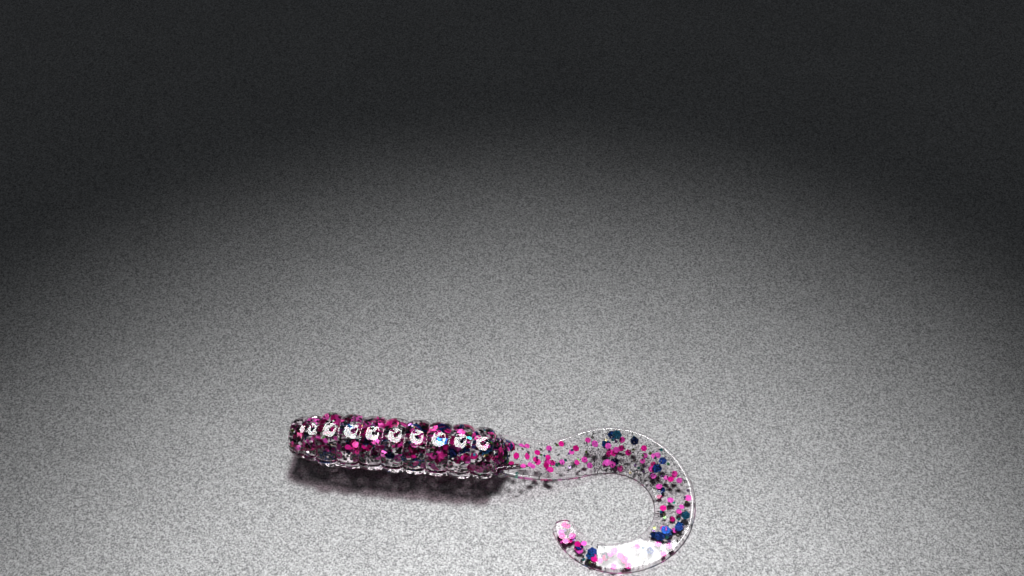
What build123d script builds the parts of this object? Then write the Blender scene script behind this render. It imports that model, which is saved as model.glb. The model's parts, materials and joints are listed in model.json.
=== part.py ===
"""Curly-tail soft plastic grub: a ribbed trunk and a flat sickle tail, moulded in clear plastic
full of glitter.

Millimetres. The origin is the centre of the flat nose face, +X runs along the trunk to the tail, +Z is
up, and the grub lies on the plane z = -crest_radius. The moulding is one piece of rubbery plastic, so it
is built as the short lengths between the places where it flexes: the nose, eight ribs, the tail root and
nine lengths of the blade. Each length carries its own glitter flakes, held in pockets in the plastic.
"""

from build123d import *
import os
from math import atan2, cos, degrees, hypot, pi, radians, sin, sqrt

# Trunk
rib_count = 8
rib_pitch = 2.9
crest_radius = 3.6
groove_depth = 0.5
flash_height = 0.26  # thin ridge down each side, where the mould's halves met
flash_thickness = 0.12
flash_inset = 0.15  # from each end of a rib to where its ridge starts
nose_length = 3.9
nose_radius = 2.95
nose_face_radius = 1.7
nose_shoulder = 2.3  # from the nose face to where the nose is widest
gate_ring_radius = 0.95  # mark left where the plastic was let into the mould
gate_ring_width = 0.25
gate_ring_depth = 0.1
first_groove_radius = 2.8
last_rib_radius = 3.4
root_radius = 2.6  # where the tail root leaves the last rib

# Tail, laid out along its centreline from the end of the trunk
blade_thickness = 0.9
edge_rounding = 0.3
root_half_width = 3.2
neck_half_width = 2.8
neck_at = 8.0
blade_half_width = 3.2
tip_half_width = 1.35
root_length = 6.8
keel_length = 6.4
keel_middle_half_width = 1.9
keel_middle_half_height = 1.35
keel_end_half_width = 0.7
straight_length = 2.5
lead_radius = 16.0  # the tail first turns away from the curl's side
lead_angle = 33.0
curl_radius = 8.2
curl_angle = 205.0
tip_curl_radius = 6.6
tip_curl_angle = 84.0
taper_from = 40.0  # degrees round the curl at which the blade starts to narrow
blade_count = 9

# How the limp tail lies: the outer edge is lifted where the curl starts and low where it ends
droop_length = 14.5
lift_angle = 20.0
settle_angle = 29.0
settle_from = 40.0
settle_to = 200.0

# Flexing places
flex_gap = 0.2  # between neighbouring lengths, over the whole travel
rim_setback = 0.1  # a rib's rear rim ends this much lower than the groove
hinge_pivot = rib_pitch / 2  # from a groove back to the pivot inside the next length
end_shoulder = 0.1  # a round end is this much narrower than the blade, on each side
horn_angle = 56.0  # how far round a hollow end's horns reach, which lets the curl open
flutter_joints = (1, 4, 7)  # blade lengths whose far end folds through the thickness

# Glitter
flake_radius = 0.45
flake_thickness = 0.06
large_flake_radius = 0.75
pocket_gap = 0.015
flake_wall = 0.16  # least plastic between a flake and the surface
flakes_in_rib = 10
large_flakes_in_rib = 3
flakes_in_blade = 5
large_flakes_in_blade = 1

trunk_length = nose_length + rib_count * rib_pitch
table_z = -crest_radius
bends = (
    (straight_length, 0.0),
    (lead_radius * radians(lead_angle), lead_angle),
    (curl_radius * radians(curl_angle), -curl_angle),
    (tip_curl_radius * radians(tip_curl_angle), -tip_curl_angle),
)
tail_length = sum(length for length, turn in bends)
curl_start = bends[0][0] + bends[1][0]
curl_sweep = curl_angle + tip_curl_angle
blade_pitch = (tail_length - root_length) / blade_count

os.makedirs("parts", exist_ok=True)


def save(part, name):
    part.label = name
    export_step(part, f"parts/{name}.step")


# ---- Trunk outline ----

crests = [last_rib_radius if k == rib_count - 1 else crest_radius for k in range(rib_count)]
grooves = [first_groove_radius]
grooves += [min(a, b) - groove_depth for a, b in zip(crests, crests[1:])]
grooves += [root_radius]


def groove_x(k):
    """The groove in front of rib k, counted from 0. Groove rib_count is the end of the trunk."""
    return nose_length + k * rib_pitch


def pivot_x(k):
    """The pivot of the length behind groove k, which is the centre of its domed front."""
    return groove_x(k) + hinge_pivot


def dome_radius(k):
    return hypot(hinge_pivot, grooves[k])


def dome_line(k):
    """Domed front of the length behind groove k, from its axis out to the groove."""
    rim_angle = 180 - degrees(atan2(grooves[k], hinge_pivot))
    return CenterArc((pivot_x(k), 0), dome_radius(k), 180, rim_angle - 180)


def socket_line(k):
    """Hollow rear of the length in front of groove k, from its axis out to its rim."""
    radius = dome_radius(k) + flex_gap
    rim_radius = grooves[k] - rim_setback
    rim_angle = 180 - degrees(atan2(rim_radius, sqrt(radius**2 - rim_radius**2)))
    return CenterArc((pivot_x(k), 0), radius, 180, rim_angle - 180)


# ---- Tail centreline and sections ----


def smooth(t):
    t = min(max(t, 0.0), 1.0)
    return t * t * (3 - 2 * t)


def plan(s):
    """Place (x, y) of the centreline at distance s along the tail, and its heading in degrees."""
    x, y, heading = trunk_length, 0.0, 0.0
    for length, turn in bends:
        run = min(s, length)
        angle = radians(turn) * run / length
        chord = run * sin(angle / 2) / (angle / 2) if angle else run
        x += chord * cos(heading + angle / 2)
        y += chord * sin(heading + angle / 2)
        heading += angle
        s -= run
        if s <= 0:
            break
    else:
        x += s * cos(heading)
        y += s * sin(heading)
    return x, y, degrees(heading)


def turned(s):
    """Degrees round the curl at distance s along the tail."""
    return lead_angle - plan(s)[2] if s > curl_start else 0.0


def half_width(s):
    if s < neck_at:
        return root_half_width + (neck_half_width - root_half_width) * smooth(s / neck_at)
    full = neck_half_width + (blade_half_width - neck_half_width) * smooth((s - neck_at) / neck_at)
    narrowing = (turned(s) - taper_from) / (curl_sweep - taper_from)
    return full + (tip_half_width - blade_half_width) * max(narrowing, 0.0)


def end_radius(s):
    """Radius of the round end where a length of the blade ends at distance s."""
    return half_width(s) - end_shoulder


def roll(s):
    """How far the blade's outer edge is tilted up at distance s, in degrees."""
    settled = smooth((turned(s) - settle_from) / (settle_to - settle_from))
    return lift_angle * smooth(s / curl_start) - settle_angle * settled


def height(s):
    """Height of the centreline: the trunk's axis at the root, then the blade lying on the table."""
    edge_drop = half_width(s) * sin(radians(roll(s)))
    lying = table_z + blade_thickness / 2 + hypot(edge_drop, edge_rounding / 2)
    return lying * smooth(s / droop_length)


def centre(s):
    x, y, heading = plan(s)
    return Vector(x, y, height(s))


def section_plane(s):
    """Plane across the tail: its x runs to the blade's outer edge, its y through the thickness."""
    heading = radians(plan(s)[2])
    step = 0.01
    along = (centre(s + step) - centre(s - step)).normalized()
    tilt = radians(roll(s))
    across = Vector(-sin(heading) * cos(tilt), cos(heading) * cos(tilt), sin(tilt))
    across -= along * across.dot(along)
    return Plane(origin=centre(s), x_dir=across, z_dir=along)


def blade_plane(s, v=0.0):
    """Plane of the blade itself at distance s along it and v out from its centreline."""
    across = section_plane(s)
    return Plane(origin=across.from_local_coords((v, 0, 0)), x_dir=across.z_dir, z_dir=across.y_dir)


# ---- Glitter ----


def spread(i, step):
    """The i-th value of an even spread over 0 to 1."""
    return (i * step) % 1.0


def scattered(place, counts, radii, tries=400):
    """Planes for flakes at well-spaced places. place(i) gives the i-th plane to try, or None where there's no room."""
    found = [[] for _ in counts]
    for kind in sorted(range(len(counts)), key=lambda k: -radii[k]):
        for i in range(1, tries):
            if len(found[kind]) == counts[kind]:
                break
            plane = place(i + tries * kind, radii[kind])
            if plane is not None and all(
                (plane.origin - other.origin).length > radii[kind] + radii[k] + 4 * pocket_gap
                for k, planes in enumerate(found)
                for other in planes
            ):
                found[kind].append(plane)
    return found


def rib_flake(k):
    """Gives places inside the trunk length in front of groove k, at any tilt."""
    front = groove_x(k) - rib_pitch
    reach = dome_radius(k)

    def place(i, radius):
        i += 61 * k
        room = min(grooves[k - 1], grooves[k]) - flake_wall - radius
        out = room * sqrt(spread(i, 0.8191725))
        turn = 2 * pi * spread(i, 0.6710436)
        hollow = sqrt(reach**2 - out**2) - hinge_pivot
        depth = flake_wall + radius
        x = front - hollow + depth + (rib_pitch - flex_gap - 2 * depth) * spread(i, 0.5497005)
        tilt = pi * spread(i, 0.4142136)
        facing = Vector(cos(tilt), sin(tilt) * cos(3 * turn), sin(tilt) * sin(3 * turn))
        return Plane(origin=(x, out * cos(turn), out * sin(turn)), z_dir=facing)

    return place


def nose_flake(i, radius):
    """Places inside the nose, between its face and the first rib's dome."""
    room = nose_face_radius - flake_wall
    out = room * sqrt(spread(i, 0.8191725))
    turn = 2 * pi * spread(i, 0.6710436)
    back = pivot_x(0) - sqrt((dome_radius(0) + flex_gap) ** 2 - out**2)
    span = back - 2 * (flake_wall + radius)
    if span < 0:
        return None
    facing = Vector(1, 0.6 * cos(turn), 0.6 * sin(turn))
    x = flake_wall + radius + span * spread(i, 0.5497005)
    return Plane(origin=(x, out * cos(turn), out * sin(turn)), z_dir=facing)


def blade_flake(front, back, front_is_round, back_is_round):
    """Gives places in a length of the blade from front to back, flat in the blade."""

    def place(i, radius):
        i += int(10 * front)
        side = half_width(back) - flake_wall - radius
        if side <= 0:
            return None
        v = side * (2 * spread(i, 0.7548777) - 1)
        first = front + flex_gap / 2
        last = back - flex_gap / 2
        if front_is_round:
            first = front + sqrt((end_radius(front) + flex_gap) ** 2 - v**2)
        if back_is_round:
            last = back + sqrt(end_radius(back) ** 2 - v**2)
        margin = flake_wall + radius
        if last - first < 2 * margin:
            return None
        s = first + margin + (last - first - 2 * margin) * spread(i, 0.5698403)
        return blade_plane(s, v)

    return place


def hexagons(planes, radius):
    with BuildSketch(*planes) as outlines:
        RegularPolygon(radius=radius, side_count=6)
    return outlines.sketch


def cut_pockets(planes_by_kind):
    """Cuts the flakes' pockets out of the part being built."""
    for planes, radius in zip(planes_by_kind, (flake_radius, large_flake_radius)):
        if planes:
            pockets = hexagons(planes, radius + pocket_gap)
            extrude(pockets, amount=flake_thickness / 2 + pocket_gap, both=True, mode=Mode.SUBTRACT)


def save_flakes(planes_by_kind, name):
    """Writes a length's small and large flakes, each kind as one group of separate solids."""
    sizes = (("magenta_flakes", flake_radius), ("blue_flakes", large_flake_radius))
    for planes, (kind, radius) in zip(planes_by_kind, sizes):
        if planes:
            with BuildPart() as flakes:
                extrude(hexagons(planes, radius), amount=flake_thickness / 2, both=True)
            save(flakes.part, f"{kind}_{name}")


# ---- Nose ----

flakes = scattered(nose_flake, (4, 1), (flake_radius, large_flake_radius))
with BuildPart() as nose:
    with BuildSketch(Plane.XZ):
        with BuildLine():
            socket = socket_line(0)
            face = Line((0, 0), (0, nose_face_radius))
            shoulder_mid = (
                nose_shoulder * (1 - cos(pi / 4)),
                nose_face_radius + (nose_radius - nose_face_radius) * sin(pi / 4),
            )
            shoulder = ThreePointArc(face @ 1, shoulder_mid, (nose_shoulder, nose_radius))
            Line(shoulder @ 1, socket @ 1)
            Line(socket @ 0, face @ 0)
        make_face()
    revolve(axis=Axis.X)
    with BuildSketch(Plane.YZ):
        Circle(gate_ring_radius)
        Circle(gate_ring_radius - gate_ring_width, mode=Mode.SUBTRACT)
    extrude(amount=gate_ring_depth, mode=Mode.SUBTRACT)
    cut_pockets(flakes)
save(nose.part, "nose")
save_flakes(flakes, "nose")

# ---- Ribs ----

for k in range(rib_count):
    flakes = scattered(
        rib_flake(k + 1), (flakes_in_rib, large_flakes_in_rib), (flake_radius, large_flake_radius)
    )
    with BuildPart() as rib:
        with BuildSketch(Plane.XZ):
            with BuildLine():
                dome = dome_line(k)
                socket = socket_line(k + 1)
                crest_x = (groove_x(k) + (socket @ 1).X) / 2
                ThreePointArc(dome @ 1, (crest_x, crests[k]), socket @ 1)
                Line(socket @ 0, dome @ 0)
            make_face()
        revolve(axis=Axis.X)
        with BuildSketch(Plane.XY):
            with BuildLine():
                front = (dome @ 1) + Vector(flash_inset, -flash_inset / 3)
                back = (socket @ 1) - Vector(flash_inset, flash_inset / 3)
                ThreePointArc(front, (crest_x, crests[k] + flash_height), back)
                Line(back, front)
            make_face()
            mirror(about=Plane.XZ)
        extrude(amount=flash_thickness / 2, both=True)
        cut_pockets(flakes)
    save(rib.part, f"rib_{k + 1}")
    save_flakes(flakes, f"rib_{k + 1}")

# ---- Tail ----


def lay_blade(front, back):
    """Adds the flat of the blade from front to back to the part being built."""
    sections = []
    for i in range(5):
        s = front + (back - front) * i / 4
        with BuildSketch(section_plane(s)) as section:
            RectangleRounded(2 * half_width(s), blade_thickness, edge_rounding)
        sections.append(section.sketch)
    loft(sections)


def cut_through(outline):
    extrude(outline, amount=2 * blade_half_width, both=True, mode=Mode.SUBTRACT)


def round_end(s):
    """Rounds the blade off beyond distance s, where the next length turns on it."""
    with BuildSketch(blade_plane(s)) as beyond:
        Rectangle(4 * blade_half_width, 4 * blade_half_width, align=(Align.MIN, Align.CENTER))
        Circle(end_radius(s), mode=Mode.SUBTRACT)
    cut_through(beyond.sketch)


def hollow_end(s):
    """Cuts the hollow that the round end of the length in front turns in."""
    with BuildSketch(blade_plane(s)) as hollow:
        Circle(end_radius(s) + flex_gap)
    cut_through(hollow.sketch)


flakes = scattered(
    blade_flake(keel_length / 2, root_length, False, True),
    (flakes_in_blade, large_flakes_in_blade),
    (flake_radius, large_flake_radius),
)
with BuildPart() as root:
    with BuildSketch(Plane.XZ):
        with BuildLine():
            dome = dome_line(rib_count)
            base = Line(dome @ 1, (trunk_length, 0))
            Line(base @ 1, dome @ 0)
        make_face()
    revolve(axis=Axis.X)
    keel_sections = (
        (0.0, root_radius, root_radius),
        (keel_length / 2, keel_middle_half_width, keel_middle_half_height),
        (keel_length, keel_end_half_width, blade_thickness / 2),
    )
    for s, wide, high in keel_sections:
        with BuildSketch(section_plane(s)):
            Ellipse(wide, high)
    loft()
    lay_blade(flex_gap, root_length + end_radius(root_length))
    round_end(root_length)
    cut_pockets(flakes)
save(root.part, "tail_root")
save_flakes(flakes, "tail_root")

for k in range(1, blade_count + 1):
    front = root_length + (k - 1) * blade_pitch
    back = tail_length - tip_half_width if k == blade_count else front + blade_pitch
    front_is_round = k - 1 not in flutter_joints
    back_is_round = k not in flutter_joints
    horn_reach = (end_radius(front) + flex_gap) * cos(radians(horn_angle))
    front_edge = front + (horn_reach if front_is_round else flex_gap)
    back_edge = back + (end_radius(back) if back_is_round else -flex_gap)
    # a length between a hollow end and a fold has no room for a large flake
    large_flakes = large_flakes_in_blade if back_is_round else 0
    flakes = scattered(
        blade_flake(front, back, front_is_round, back_is_round),
        (flakes_in_blade, large_flakes),
        (flake_radius, large_flake_radius),
    )
    with BuildPart() as blade:
        lay_blade(front_edge, back_edge)
        if back_is_round:
            round_end(back)
        if front_is_round:
            hollow_end(front)
        cut_pockets(flakes)
    name = "tail_tip" if k == blade_count else f"blade_{k}"
    save(blade.part, name)
    save_flakes(flakes, name)
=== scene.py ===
import json
import math
import random

import bpy
import numpy as np
from mathutils import Matrix, Vector

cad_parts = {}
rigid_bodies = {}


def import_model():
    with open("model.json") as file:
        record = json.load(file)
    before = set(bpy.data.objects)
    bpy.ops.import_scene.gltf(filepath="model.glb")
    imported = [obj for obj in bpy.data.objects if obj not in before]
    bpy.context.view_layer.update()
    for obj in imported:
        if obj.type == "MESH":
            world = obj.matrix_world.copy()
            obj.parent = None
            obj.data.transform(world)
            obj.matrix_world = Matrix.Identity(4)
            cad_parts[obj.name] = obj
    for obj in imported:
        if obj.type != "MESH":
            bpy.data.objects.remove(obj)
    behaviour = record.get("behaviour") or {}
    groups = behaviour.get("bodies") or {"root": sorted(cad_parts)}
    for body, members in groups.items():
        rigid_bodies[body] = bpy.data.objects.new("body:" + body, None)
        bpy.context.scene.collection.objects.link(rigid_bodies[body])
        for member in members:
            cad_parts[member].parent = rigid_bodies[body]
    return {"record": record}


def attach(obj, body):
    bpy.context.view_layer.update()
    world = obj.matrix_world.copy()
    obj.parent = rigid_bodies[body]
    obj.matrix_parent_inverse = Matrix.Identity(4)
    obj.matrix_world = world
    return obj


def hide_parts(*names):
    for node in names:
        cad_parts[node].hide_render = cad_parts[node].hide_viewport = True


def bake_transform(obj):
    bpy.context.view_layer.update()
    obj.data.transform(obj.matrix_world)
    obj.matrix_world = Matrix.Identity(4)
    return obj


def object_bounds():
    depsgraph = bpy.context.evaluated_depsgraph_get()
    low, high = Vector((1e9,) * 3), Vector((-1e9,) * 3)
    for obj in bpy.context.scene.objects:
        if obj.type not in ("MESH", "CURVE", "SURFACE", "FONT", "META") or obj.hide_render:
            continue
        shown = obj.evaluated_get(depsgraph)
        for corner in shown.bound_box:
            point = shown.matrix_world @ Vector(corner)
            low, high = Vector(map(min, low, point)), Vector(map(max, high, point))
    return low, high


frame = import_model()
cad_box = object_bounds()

MM = 0.001
rng = random.Random(20)

# ---- The grub's own sizes, in millimetres, as the CAD model has them ----

RIB_COUNT = 8
RIB_PITCH = 2.9
NOSE_LENGTH = 3.9
CREST_RADIUS = 3.6
LAST_RIB_RADIUS = 3.4
GROOVE_DEPTH = 0.5
FIRST_GROOVE_RADIUS = 2.8
ROOT_RADIUS = 2.6
TRUNK_LENGTH = NOSE_LENGTH + RIB_COUNT * RIB_PITCH
TABLE_Z = -CREST_RADIUS

BLADE_THICKNESS = 0.9
ROOT_HALF_WIDTH, NECK_HALF_WIDTH, BLADE_HALF_WIDTH, TIP_HALF_WIDTH = 3.2, 2.8, 3.2, 1.35
NECK_AT = 8.0
# each bend of the tail's centreline: its length and how far it turns, in degrees
BENDS = (
    (2.5, 0.0),
    (16.0 * math.radians(33), 33.0),
    (8.2 * math.radians(205), -205.0),
    (6.6 * math.radians(84), -84.0),
)
TAIL_LENGTH = sum(b[0] for b in BENDS)
CURL_START = BENDS[0][0] + BENDS[1][0]
LEAD_ANGLE, CURL_SWEEP, TAPER_FROM = 33.0, 289.0, 40.0
DROOP_LENGTH, LIFT_ANGLE, SETTLE_ANGLE, SETTLE_FROM, SETTLE_TO = 14.5, 20.0, 29.0, 40.0, 200.0
ROOT_LENGTH = 6.8
BLADE_COUNT = 9
BLADE_PITCH = (TAIL_LENGTH - ROOT_LENGTH) / BLADE_COUNT
TRUNK_BODIES = ["nose"] + [f"rib_{k + 1}" for k in range(RIB_COUNT)]
TAIL_BODIES = ["tail_root"] + [f"blade_{k}" for k in range(1, BLADE_COUNT)] + ["tail_tip"]

CRESTS = [LAST_RIB_RADIUS if k == RIB_COUNT - 1 else CREST_RADIUS for k in range(RIB_COUNT)]
GROOVES = [FIRST_GROOVE_RADIUS]
GROOVES += [min(a, b) - GROOVE_DEPTH for a, b in zip(CRESTS, CRESTS[1:])]
GROOVES += [ROOT_RADIUS]


def smooth(t):
    t = min(max(t, 0.0), 1.0)
    return t * t * (3 - 2 * t)


def mix(a, b, t):
    return a + (b - a) * t


def plan(s):
    """Place and heading of the tail's centreline, seen from above, at distance s along it."""
    x, y, heading = TRUNK_LENGTH, 0.0, 0.0
    for length, turn in BENDS:
        run = min(s, length)
        angle = math.radians(turn) * run / length
        chord = run * math.sin(angle / 2) / (angle / 2) if angle else run
        x += chord * math.cos(heading + angle / 2)
        y += chord * math.sin(heading + angle / 2)
        heading += angle
        s -= run
        if s <= 0:
            break
    return x, y, math.degrees(heading)


def turned(s):
    return LEAD_ANGLE - plan(s)[2] if s > CURL_START else 0.0


def half_width(s):
    if s < NECK_AT:
        return mix(ROOT_HALF_WIDTH, NECK_HALF_WIDTH, smooth(s / NECK_AT))
    full = mix(NECK_HALF_WIDTH, BLADE_HALF_WIDTH, smooth((s - NECK_AT) / NECK_AT))
    narrowing = (turned(s) - TAPER_FROM) / (CURL_SWEEP - TAPER_FROM)
    return full + (TIP_HALF_WIDTH - BLADE_HALF_WIDTH) * max(narrowing, 0.0)


def roll(s):
    settled = smooth((turned(s) - SETTLE_FROM) / (SETTLE_TO - SETTLE_FROM))
    return LIFT_ANGLE * smooth(s / CURL_START) - SETTLE_ANGLE * settled


def height(s):
    edge_drop = half_width(s) * math.sin(math.radians(roll(s)))
    lying = TABLE_Z + BLADE_THICKNESS / 2 + math.hypot(edge_drop, 0.15)
    return lying * smooth(s / DROOP_LENGTH)


def centre(s):
    x, y, _ = plan(s)
    return Vector((x, y, height(s)))


def tail_frame(s):
    """Centre of the tail at s, the way to its outer edge, and the way up through its thickness."""
    heading, tilt = math.radians(plan(s)[2]), math.radians(roll(s))
    along = (centre(s + 0.01) - centre(s - 0.01)).normalized()
    across = Vector((-math.sin(heading) * math.cos(tilt), math.cos(heading) * math.cos(tilt), math.sin(tilt)))
    across = (across - along * across.dot(along)).normalized()
    return centre(s), across, along.cross(across)


# ---- Skin: rings of points from the nose to the tip ----

ARC_POINTS = 44  # from one side ridge to the other, over the top
RIDGE_BASE, RIDGE_TOP = 0.13, 0.05  # half thickness of the moulding flash
RIDGE_HEIGHT = 0.26


def half_ring():
    """Angles over the top half of a ring, closer together near the two sides."""
    out = []
    for i in range(ARC_POINTS):
        t = i / (ARC_POINTS - 1)
        out.append(math.pi * (t - 0.06 * math.sin(2 * math.pi * t)))
    return out


ANGLES = half_ring()


def round_ring(x, r, ridge):
    """Ring of a round section of radius r, with a flash ridge on each side."""
    base, top = min(RIDGE_BASE, 0.4 * r), min(RIDGE_TOP, 0.2 * r)
    out = r + RIDGE_HEIGHT * ridge
    first = math.asin(base / r)
    upper = [mix(first, math.pi - first, a / math.pi) for a in ANGLES]
    ring = [(out, top)] + [(r * math.cos(a), r * math.sin(a)) for a in upper] + [(-out, top)]
    ring += [(-out, -top)] + [(-r * math.cos(a), -r * math.sin(a)) for a in upper] + [(out, -top)]
    return ring


def blade_ring(s):
    """Ring across the tail: a flat blade with rounded edges, and the keel that runs down into its root."""
    over = s - (TAIL_LENGTH - TIP_HALF_WIDTH)
    wide = half_width(min(s, TAIL_LENGTH - TIP_HALF_WIDTH))
    if over > 0:
        wide *= math.sqrt(max(1 - (over / TIP_HALF_WIDTH) ** 2, 0.0004))
    thick = BLADE_THICKNESS / 2
    end = s - (TAIL_LENGTH - 0.35)
    if end > 0:
        thick *= math.sqrt(max(1 - (end / 0.35) ** 2, 0.01))
    rounding = min(0.42, 0.8 * wide)
    t = s / 6.4
    keel_wide = mix(2.6, 0.7, t) if t < 1 else 0.0
    keel_high = mix(2.6, 0.45, 1 - (1 - t) ** 1.6) if t < 1 else 0.0
    upper = []
    for a in ANGLES:
        v = wide * math.cos(a)
        edge = min((wide - abs(v)) / rounding, 1.0)
        h = thick * mix(0.22, 1.0, math.sqrt(max(1 - (1 - edge) ** 2, 0.0)))
        if keel_wide > 0 and abs(v) < keel_wide:
            keel = keel_high * math.sqrt(1 - (v / keel_wide) ** 2)
            h = (h**5 + keel**5) ** 0.2
        upper.append((v, h))
    lip = 0.06 * min(wide, 1.0)
    ring = [(wide + lip, 0.05 * thick / 0.45)] + upper + [(-wide - lip, 0.05 * thick / 0.45)]
    ring += [(-v, -h) for v, h in ring]
    return ring


def rib_radius(k, t):
    """Radius of rib k at t from its front groove to its rear one."""
    base = mix(GROOVES[k], GROOVES[k + 1], t)
    return base + (CRESTS[k] - base) * (1 - abs(2 * t - 1) ** 2.5) ** 0.62


def nose_profile():
    """(x, radius, ridge) from the middle of the nose face back to the first groove."""
    points = [(0, 0.03, 0), (0, 0.35, 0), (0, 0.66, 0), (0.015, 0.7, 0), (0.1, 0.74, 0), (0.1, 0.9, 0)]
    points += [(0.015, 0.95, 0), (0, 0.99, 0), (0, 1.35, 0), (0, 1.6, 0)]
    for i in range(1, 15):
        a = math.pi / 2 * i / 14
        points.append((2.2 * (1 - math.cos(a)), 1.62 + 1.14 * math.sin(a), smooth((i - 2) / 8)))
    points += [(2.27, 2.78, 1), (2.34, 2.88, 1)]
    for i in range(1, 13):
        t = i / 12
        r = mix(2.9, GROOVES[0], t**3) + 0.14 * math.sin(math.pi * t) ** 0.8
        points.append((mix(2.34, NOSE_LENGTH, t), r, 1))
    return points


rings, cuts = [], [0]


def add_ring(points, origin, across, up):
    rings.append([origin + across * v + up * h for v, h in points])


Y, Z = Vector((0, 1, 0)), Vector((0, 0, 1))
for x, r, ridge in nose_profile():
    add_ring(round_ring(x, r, ridge), Vector((x, 0, 0)), Y, Z)
cuts.append(len(rings) - 1)
RIB_RINGS = 18
for k in range(RIB_COUNT):
    for i in range(1, RIB_RINGS + 1):
        t = i / RIB_RINGS
        t -= 0.05 * math.sin(2 * math.pi * t)
        r = rib_radius(k, t)
        x = NOSE_LENGTH + (k + t) * RIB_PITCH
        ridge = 1.0 if k < RIB_COUNT - 1 or t < 0.6 else mix(1.0, 0.6, (t - 0.6) / 0.4)
        add_ring(round_ring(x, r, ridge), Vector((x, 0, 0)), Y, Z)
    cuts.append(len(rings) - 1)

tail_cuts = [ROOT_LENGTH + (k - 0.5) * BLADE_PITCH for k in range(BLADE_COUNT)] + [TAIL_LENGTH]
start = 0.0
for number, end in enumerate(tail_cuts):
    last = number == len(tail_cuts) - 1
    count = max(round((end - start) / 0.22), 8)
    stations = [start + (end - start) * i / count for i in range(1, count + 1)]
    if number == 0:
        stations = [0.06, 0.12, 0.18, 0.26, 0.34, 0.43, 0.52, 0.62] + [s for s in stations if s > 0.7]
    if last:
        rounded = TAIL_LENGTH - TIP_HALF_WIDTH
        stations = [s for s in stations if s < rounded - 0.05]
        stations += [rounded + TIP_HALF_WIDTH * math.sin(math.pi / 2 * i / 16) for i in range(17)]
    for s in stations:
        origin, across, up = tail_frame(min(s, TAIL_LENGTH - 0.02))
        if s > TAIL_LENGTH - 0.02:
            origin = centre(TAIL_LENGTH - 0.001)
        points = blade_ring(s)
        if s < 0.62:
            m = smooth(s / 0.62)
            start_ring = round_ring(0, ROOT_RADIUS, 0.6)
            points = [(mix(a[0], b[0], m), mix(a[1], b[1], m)) for a, b in zip(start_ring, points)]
        add_ring(points, origin, across, up)
    cuts.append(len(rings) - 1)
    start = end

AROUND = len(rings[0])
points = np.array([[list(p) for p in ring] for ring in rings])
step_around = np.roll(points, -1, axis=1) - np.roll(points, 1, axis=1)
step_along = np.gradient(points, axis=0)
normals = np.cross(step_around, step_along)
normals[0], normals[-1] = (-1, 0, 0), normals[-2]
# the ring runs from +Y over +Z, and the rings run along +X
normals /= np.maximum(np.linalg.norm(normals, axis=2, keepdims=True), 1e-12)
middle = points.mean(axis=1, keepdims=True)
if ((points - middle) * normals)[20:-20].sum() < 0:
    normals[1:] *= -1


def new_object(name, verts, faces, material, smooth_shaded=True):
    mesh = bpy.data.meshes.new(name)
    mesh.from_pydata([tuple(v * MM for v in p) for p in verts], [], faces)
    mesh.materials.append(material)
    if smooth_shaded:
        mesh.polygons.foreach_set("use_smooth", [True] * len(mesh.polygons))
    mesh.update()
    obj = bpy.data.objects.new(name, mesh)
    bpy.context.collection.objects.link(obj)
    return obj


# ---- Materials ----


class Shader:
    """A small helper for building node materials."""

    def __init__(self, name):
        self.material = bpy.data.materials.new(name)
        self.material.use_nodes = True
        self.tree = self.material.node_tree
        self.tree.nodes.clear()

    def node(self, kind, **values):
        node = self.tree.nodes.new("ShaderNode" + kind)
        for key, value in values.items():
            setattr(node, key, value)
        return node

    def link(self, a, b):
        self.tree.links.new(a, b)


def ramp(shader, source, stops, interpolation="LINEAR"):
    node = shader.node("ValToRGB")
    node.color_ramp.interpolation = interpolation
    while len(node.color_ramp.elements) < len(stops):
        node.color_ramp.elements.new(0.5)
    for element, (position, colour) in zip(node.color_ramp.elements, stops):
        element.position = position
        element.color = (*colour, 1)
    shader.link(source, node.inputs["Fac"])
    return node


def noise(shader, scale, detail=2.0, roughness=0.5):
    coordinates = shader.node("TexCoord")
    node = shader.node("TexNoise")
    node.inputs["Scale"].default_value = scale
    node.inputs["Detail"].default_value = detail
    node.inputs["Roughness"].default_value = roughness
    shader.link(coordinates.outputs["Object"], node.inputs["Vector"])
    return node


def plastisol(name, shade, tint):
    """Clear, slightly pink, oily-looking soft plastic.

    shade is the light that one surface lets into a shadow.
    """
    s = Shader(name)
    body = s.node("BsdfPrincipled")
    body.inputs["Transmission Weight"].default_value = 1.0
    body.inputs["IOR"].default_value = 1.46
    body.inputs["Base Color"].default_value = (*tint, 1)
    waves = noise(s, 700.0, 0.0)
    fine = noise(s, 4200.0, 2.0)
    rough = ramp(s, fine.outputs["Fac"], [(0.3, (0.01,) * 3), (0.75, (0.045,) * 3)])
    s.link(rough.outputs["Color"], body.inputs["Roughness"])
    low = s.node("Bump")
    low.inputs["Strength"].default_value = 0.06
    low.inputs["Distance"].default_value = 0.00035
    s.link(waves.outputs["Fac"], low.inputs["Height"])
    high = s.node("Bump")
    high.inputs["Strength"].default_value = 0.015
    high.inputs["Distance"].default_value = 0.0001
    s.link(fine.outputs["Fac"], high.inputs["Height"])
    s.link(low.outputs["Normal"], high.inputs["Normal"])
    s.link(high.outputs["Normal"], body.inputs["Normal"])
    path = s.node("LightPath")
    clear = s.node("BsdfTransparent")
    clear.inputs["Color"].default_value = (*shade, 1)
    blend = s.node("MixShader")
    s.link(path.outputs["Is Shadow Ray"], blend.inputs[0])
    s.link(body.outputs[0], blend.inputs[1])
    s.link(clear.outputs[0], blend.inputs[2])
    output = s.node("OutputMaterial")
    s.link(blend.outputs[0], output.inputs["Surface"])
    return s.material


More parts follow.
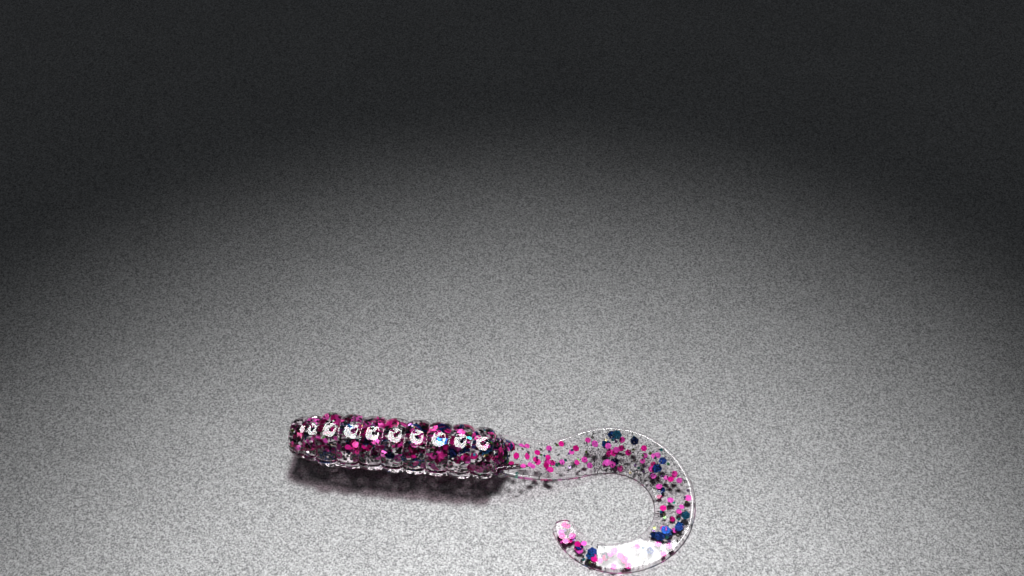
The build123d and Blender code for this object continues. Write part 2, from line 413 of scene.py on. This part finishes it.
def foil(name, stops, roughness=0.28, metallic=0.9):
    """Metallised glitter film: each flake takes its own colour, with a faint scuff."""
    s = Shader(name)
    body = s.node("BsdfPrincipled")
    body.inputs["Metallic"].default_value = metallic
    island = s.node("NewGeometry")
    colour = ramp(s, island.outputs["Random Per Island"], stops)
    scuff = noise(s, 3000.0, 2.0)
    worn = ramp(s, scuff.outputs["Fac"], [(0.3, (0.8,) * 3), (0.7, (1.0,) * 3)])
    shade = s.node("Mix", data_type="RGBA", blend_type="MULTIPLY")
    shade.inputs[0].default_value = 1.0
    s.link(colour.outputs["Color"], shade.inputs[6])
    s.link(worn.outputs["Color"], shade.inputs[7])
    s.link(shade.outputs[2], body.inputs["Base Color"])
    rough = ramp(s, scuff.outputs["Fac"], [(0.3, (roughness * 0.7,) * 3), (0.8, (roughness * 1.3,) * 3)])
    s.link(rough.outputs["Color"], body.inputs["Roughness"])
    output = s.node("OutputMaterial")
    s.link(body.outputs[0], output.inputs["Surface"])
    return s.material


CLEAR_TRUNK = plastisol("clear_plastisol", (0.6, 0.53, 0.56), (0.97, 0.87, 0.92))
CLEAR_BLADE = plastisol("clear_plastisol_thin", (0.975, 0.955, 0.965), (1.0, 0.985, 0.992))
MAGENTA = foil(
    "magenta_glitter",
    [(0.0, (0.32, 0.002, 0.085)), (0.35, (0.95, 0.013, 0.36)), (1.0, (1.0, 0.14, 0.72))],
    0.26,
    0.2,
)
BLUE = foil(
    "blue_glitter",
    [
        (0.0, (0.012, 0.02, 0.05)),
        (0.45, (0.015, 0.04, 0.14)),
        (0.7, (0.02, 0.07, 0.38)),
        (0.92, (0.03, 0.2, 0.7)),
        (1.0, (0.1, 0.6, 0.8)),
    ],
)
HOLO = foil(
    "holographic_glitter",
    [
        (0.0, (0.1, 0.1, 0.75)),
        (0.25, (0.05, 0.65, 0.75)),
        (0.5, (0.2, 0.75, 0.25)),
        (0.7, (0.85, 0.65, 0.12)),
        (0.85, (0.9, 0.9, 0.95)),
        (1.0, (0.5, 0.1, 0.8)),
    ],
    0.2,
)
PEPPER = foil(
    "black_glitter",
    [
        (0.0, (0.006, 0.005, 0.008)),
        (0.7, (0.02, 0.02, 0.025)),
        (0.8, (0.3, 0.27, 0.31)),
        (1.0, (0.8, 0.75, 0.8)),
    ],
    0.35,
    0.5,
)

# ---- Skin pieces ----

# every piece: name, first and last ring, bodies, and where it starts and stops bending
pieces = [("skin_nose", cuts[0], cuts[1], ("nose",), None)]
for k in range(RIB_COUNT):
    bend = (Vector((NOSE_LENGTH + k * RIB_PITCH, 0, 0)), Vector((NOSE_LENGTH + (k + 1) * RIB_PITCH, 0, 0)))
    pieces.append((f"skin_rib_{k + 1}", cuts[k + 1], cuts[k + 2], (TRUNK_BODIES[k], TRUNK_BODIES[k + 1]), bend))
bend = (Vector((TRUNK_LENGTH, 0, 0)), Vector((TRUNK_LENGTH + RIB_PITCH, 0, 0)))
at = RIB_COUNT + 1
pieces.append(("skin_tail_root", cuts[at], cuts[at + 1], (TRUNK_BODIES[-1], "tail_root"), bend))
for k in range(BLADE_COUNT):
    s = ROOT_LENGTH + k * BLADE_PITCH
    reach = 0.34 * BLADE_PITCH
    bend = (centre(s - reach), centre(s + reach))
    name = "skin_tail_tip" if k == BLADE_COUNT - 1 else f"skin_blade_{k + 1}"
    pieces.append((name, cuts[at + k + 1], cuts[at + k + 2], (TAIL_BODIES[k], TAIL_BODIES[k + 1]), bend))


def settle(obj, bodies, bend):
    if bend is None:
        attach(obj, bodies[0])
    else:
        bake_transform(obj)


for name, first, last, bodies, bend in pieces:
    verts = points[first : last + 1].reshape(-1, 3)
    ring_normals = normals[first : last + 1].reshape(-1, 3)
    faces = []
    for i in range(last - first):
        for j in range(AROUND):
            a, b = i * AROUND + j, i * AROUND + (j + 1) % AROUND
            faces.append((a, b, b + AROUND, a + AROUND))
    if first == 0:
        faces.append(tuple(reversed(range(AROUND))))
    if last == len(rings) - 1:
        faces.append(tuple((last - first) * AROUND + j for j in range(AROUND)))
    skin = new_object(name, verts, faces, CLEAR_BLADE if "tail" in name or "blade" in name else CLEAR_TRUNK)
    skin.data.normals_split_custom_set_from_vertices([tuple(n) for n in ring_normals])
    settle(skin, bodies, bend)
    body = bodies[-1]
    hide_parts(*frame["record"]["behaviour"]["bodies"][body])

# ---- Glitter ----

piece_ends = [NOSE_LENGTH + k * RIB_PITCH for k in range(RIB_COUNT + 1)] + [TRUNK_LENGTH + s for s in tail_cuts]


def piece_at(along):
    for i, end in enumerate(piece_ends):
        if along <= end:
            return i
    return len(piece_ends) - 1


def trunk_radius(x):
    if x < NOSE_LENGTH:
        return 1.6 + 1.2 * math.sin(min(x / 2.2, 1.0) * math.pi / 2)
    k = min(int((x - NOSE_LENGTH) / RIB_PITCH), RIB_COUNT - 1)
    return rib_radius(k, (x - NOSE_LENGTH) / RIB_PITCH - k)


def random_turn():
    axis = Vector([rng.gauss(0, 1) for _ in range(3)]).normalized()
    return Matrix.Rotation(rng.uniform(0, 2 * math.pi), 3, axis)


def in_trunk(radius):
    """A random place and turn inside the trunk or the keel."""
    while True:
        x = rng.uniform(0.35 + radius, TRUNK_LENGTH + 1.5)
        around = [trunk_radius(min(x + shift * radius, TRUNK_LENGTH)) for shift in (-0.8, 0.0, 0.8)]
        room = min(*around, 3.1) - 0.1 - 0.85 * radius
        if x > TRUNK_LENGTH:
            room = mix(2.3, 1.6, (x - TRUNK_LENGTH) / 1.5) - 0.8 * radius
        y, z = rng.uniform(-room, room), rng.uniform(-room, room)
        if math.hypot(y, z) < (room if z > -0.4 else room * 0.74):
            return x, Vector((x, y, z)), random_turn()


def in_blade(radius, first, last, wobble=0.16):
    """A random place in the blade, lying nearly flat in it."""
    s = rng.uniform(first, last)
    origin, across, up = tail_frame(s)
    wide = half_width(s) - 0.3 - radius
    high = max(BLADE_THICKNESS / 2 - 0.1 - radius * wobble, 0.05)
    place = origin + across * rng.uniform(-wide, wide) + up * rng.uniform(-high, high)
    along = across.cross(up)
    turn = Matrix((along, across, up)).transposed()
    tilt = Matrix.Rotation(rng.gauss(0, wobble), 3, "X") @ Matrix.Rotation(rng.gauss(0, wobble), 3, "Y")
    return TRUNK_LENGTH + s, place, turn @ tilt @ Matrix.Rotation(rng.uniform(0, 6.3), 3, "Z")


def flake(verts, faces, place, turn, radius, thickness):
    first = len(verts)
    for side in (-1, 1):
        for i in range(6):
            a = math.pi / 3 * i
            corner = Vector((radius * math.cos(a), radius * math.sin(a), side * thickness / 2))
            verts.append(place + turn @ corner)
    faces.append(tuple(first + i for i in reversed(range(6))))
    faces.append(tuple(first + 6 + i for i in range(6)))
    for i in range(6):
        j = (i + 1) % 6
        faces.append((first + i, first + j, first + 6 + j, first + 6 + i))


KINDS = {
    "magenta_flakes": (MAGENTA, "magenta_glitter"),
    "blue_flakes": (BLUE, "blue_glitter"),
    "holographic_flakes": (HOLO, "blue_glitter"),
    "pepper": (PEPPER, "blue_glitter"),
}
heaps = {(kind, i): ([], []) for kind in KINDS for i in range(len(pieces))}


def scatter(kind, count, place, size, thickness):
    for _ in range(count):
        radius = size * rng.uniform(0.85, 1.1)
        along, at_point, turn = place(radius)
        verts, faces = heaps[kind, piece_at(along)]
        flake(verts, faces, at_point, turn, radius, thickness)


scatter("magenta_flakes", 430, in_trunk, 0.45, 0.03)
scatter("blue_flakes", 45, in_trunk, 0.7, 0.03)
scatter("holographic_flakes", 200, in_trunk, 0.2, 0.02)
scatter("pepper", 3000, in_trunk, 0.16, 0.02)
scatter("magenta_flakes", 95, lambda r: in_blade(r, 1.5, TAIL_LENGTH - 0.6), 0.45, 0.03)
scatter("blue_flakes", 20, lambda r: in_blade(r, 14, TAIL_LENGTH - 3), 0.65, 0.03)
scatter("holographic_flakes", 80, lambda r: in_blade(r, 0.8, TAIL_LENGTH - 1.5), 0.22, 0.02)
scatter("pepper", 500, lambda r: in_blade(r, 1.0, TAIL_LENGTH - 0.6, 0.6), 0.1, 0.02)
scatter("pepper", 1500, lambda r: in_blade(r, 12.5, 26.0, 0.8), 0.075, 0.02)

for (kind, i), (verts, faces) in heaps.items():
    if verts:
        name, _, _, bodies, bend = pieces[i]
        material, slot = KINDS[kind]
        glitter = new_object(f"{kind}_{name[5:]}", verts, faces, material, False)
        settle(glitter, bodies, bend)

# ---- Floor, lights and camera ----

floor_z = cad_box[0].z


def floor_material():
    s = Shader("floor")
    body = s.node("BsdfPrincipled")
    grain = noise(s, 4600.0, 1.0, 0.6)
    cloud = noise(s, 60.0, 2.0)
    colour = ramp(s, grain.outputs["Fac"], [(0.3, (0.22, 0.22, 0.225)), (0.7, (0.74, 0.74, 0.745))])
    tone = ramp(s, cloud.outputs["Fac"], [(0.3, (0.93,) * 3), (0.7, (1.0,) * 3)])
    shade = s.node("Mix", data_type="RGBA", blend_type="MULTIPLY")
    shade.inputs[0].default_value = 1.0
    s.link(colour.outputs["Color"], shade.inputs[6])
    s.link(tone.outputs["Color"], shade.inputs[7])
    s.link(shade.outputs[2], body.inputs["Base Color"])
    body.inputs["Roughness"].default_value = 0.75
    body.inputs["Specular IOR Level"].default_value = 0.0
    bump = s.node("Bump")
    bump.inputs["Strength"].default_value = 0.5
    bump.inputs["Distance"].default_value = 0.0002
    s.link(grain.outputs["Fac"], bump.inputs["Height"])
    s.link(bump.outputs["Normal"], body.inputs["Normal"])
    output = s.node("OutputMaterial")
    s.link(body.outputs[0], output.inputs["Surface"])
    return s.material


floor = new_object(
    "floor",
    [(x, y, floor_z / MM) for x, y in ((-2000, -2000), (2000, -2000), (2000, 2000), (-2000, 2000))],
    [(0, 1, 2, 3)],
    floor_material(),
    False,
)

aim = Vector((27, -2, 0))


def towards(elevation, distance, azimuth=0.0):
    """A point at that elevation above the camera's side of the horizon, over the top and down behind past 90."""
    e, a = math.radians(elevation), math.radians(azimuth)
    return aim + distance * Vector((math.sin(a), -math.cos(e) * math.cos(a), math.sin(e) * math.cos(a)))


def look_at(obj, place, target):
    obj.location = place * MM
    obj.rotation_mode = "QUATERNION"
    obj.rotation_quaternion = (target - place).to_track_quat("-Z", "Y")


def soft_light(name, elevation, distance, size, power, target, spread=180.0, glossy=False):
    data = bpy.data.lights.new(name, "AREA")
    data.shape = "DISK"
    data.size = size * MM
    data.energy = power
    data.spread = math.radians(spread)
    obj = bpy.data.objects.new(name, data)
    bpy.context.collection.objects.link(obj)
    look_at(obj, target + towards(elevation, distance) - aim, target)
    obj.visible_glossy = glossy
    obj.visible_transmission = glossy
    return obj


def ring_light(name, elevation, side, distance, inner, outer, strength):
    # it lights only reflections: in full in the skin, faintly in the flakes under it, not on the floor
    s = Shader(name)
    s.material.cycles.emission_sampling = "NONE"
    path = s.node("LightPath")
    floor_bounce = s.node("Math", operation="LESS_THAN")
    floor_bounce.inputs[1].default_value = 0.5
    s.link(path.outputs["Diffuse Depth"], floor_bounce.inputs[0])
    inside = s.node("MapRange")
    inside.inputs["To Min"].default_value = strength
    inside.inputs["To Max"].default_value = strength * 0.4
    s.link(path.outputs["Transmission Depth"], inside.inputs["Value"])
    power = s.node("Math", operation="MULTIPLY")
    s.link(floor_bounce.outputs[0], power.inputs[0])
    s.link(inside.outputs["Result"], power.inputs[1])
    emission = s.node("Emission")
    s.link(power.outputs[0], emission.inputs["Strength"])
    output = s.node("OutputMaterial")
    s.link(emission.outputs[0], output.inputs["Surface"])
    count = 64
    verts = []
    for r in (inner, outer):
        for i in range(count):
            a = 2 * math.pi * i / count
            verts.append(Vector((r * math.cos(a), r * math.sin(a), 0)))
    faces = [(i, (i + 1) % count, count + (i + 1) % count, count + i) for i in range(count)]
    obj = new_object(name, verts, faces, s.material, False)
    look_at(obj, towards(elevation, distance, side), aim)
    obj.visible_camera = False
    obj.visible_diffuse = False
    obj.visible_shadow = False
    return obj


# each lamp lights one stretch of the lure, as cards round a small subject would
LAMPS = {
    "trunk": [ring_light("ring_light", 97, 0, 380, 72, 237, 20.0)],
    "root": [ring_light("keel_box", 60, 26, 380, 0, 80, 12.0)],
    "blade": [
        ring_light("tail_box", 111.5, 12, 380, 0, 56, 17.0),
        ring_light("curl_box", 104, 3, 380, 0, 38, 15.0),
        ring_light("tip_box", 117.5, -13.5, 380, 0, 36, 9.0),
    ],
}


def place(obj):
    if "tail_root" in obj.name or "blade_1" in obj.name:
        return "root"
    return "blade" if "blade" in obj.name or "tip" in obj.name else "trunk"


for part, lamps in LAMPS.items():
    lit = bpy.data.collections.new("lit_" + part)
    for obj in bpy.data.objects:
        if obj.type == "MESH" and place(obj) == part:
            lit.objects.link(obj)
    for lamp in lamps:
        lamp.light_linking.receiver_collection = lit
soft_light("key", 121, 420, 130, 0.09, Vector((35, -60, -3.6)), 19.0)

world = bpy.data.worlds.new("studio")
bpy.context.scene.world = world
world.use_nodes = True
world.node_tree.nodes["Background"].inputs[0].default_value = (0.9, 0.95, 1.0, 1)
world.node_tree.nodes["Background"].inputs[1].default_value = 0.045

CAMERA_AT = (41.605, -110.688, 146.860)
CAMERA_DOWN, CAMERA_LEFT = 46.0, 6.3  # degrees below the horizon, and left of straight ahead
LENS, SENSOR_WIDTH = 49.22, 36.0
pitch, yaw = math.radians(CAMERA_DOWN), math.radians(CAMERA_LEFT)
forward = Vector((-math.sin(yaw) * math.cos(pitch), math.cos(yaw) * math.cos(pitch), -math.sin(pitch)))
right = Vector((math.cos(yaw), math.sin(yaw), 0))
camera_data = bpy.data.cameras.new("camera")
camera_data.sensor_width = SENSOR_WIDTH
camera_data.lens = LENS
camera_data.clip_start, camera_data.clip_end = 0.01, 10.0
camera = bpy.data.objects.new("camera", camera_data)
bpy.context.collection.objects.link(camera)
up = right.cross(forward)
camera.matrix_world = Matrix(
    (
        (right.x, up.x, -forward.x, CAMERA_AT[0] * MM),
        (right.y, up.y, -forward.y, CAMERA_AT[1] * MM),
        (right.z, up.z, -forward.z, CAMERA_AT[2] * MM),
        (0, 0, 0, 1),
    )
)
bpy.context.scene.camera = camera
bpy.context.scene.view_settings.view_transform = "Standard"
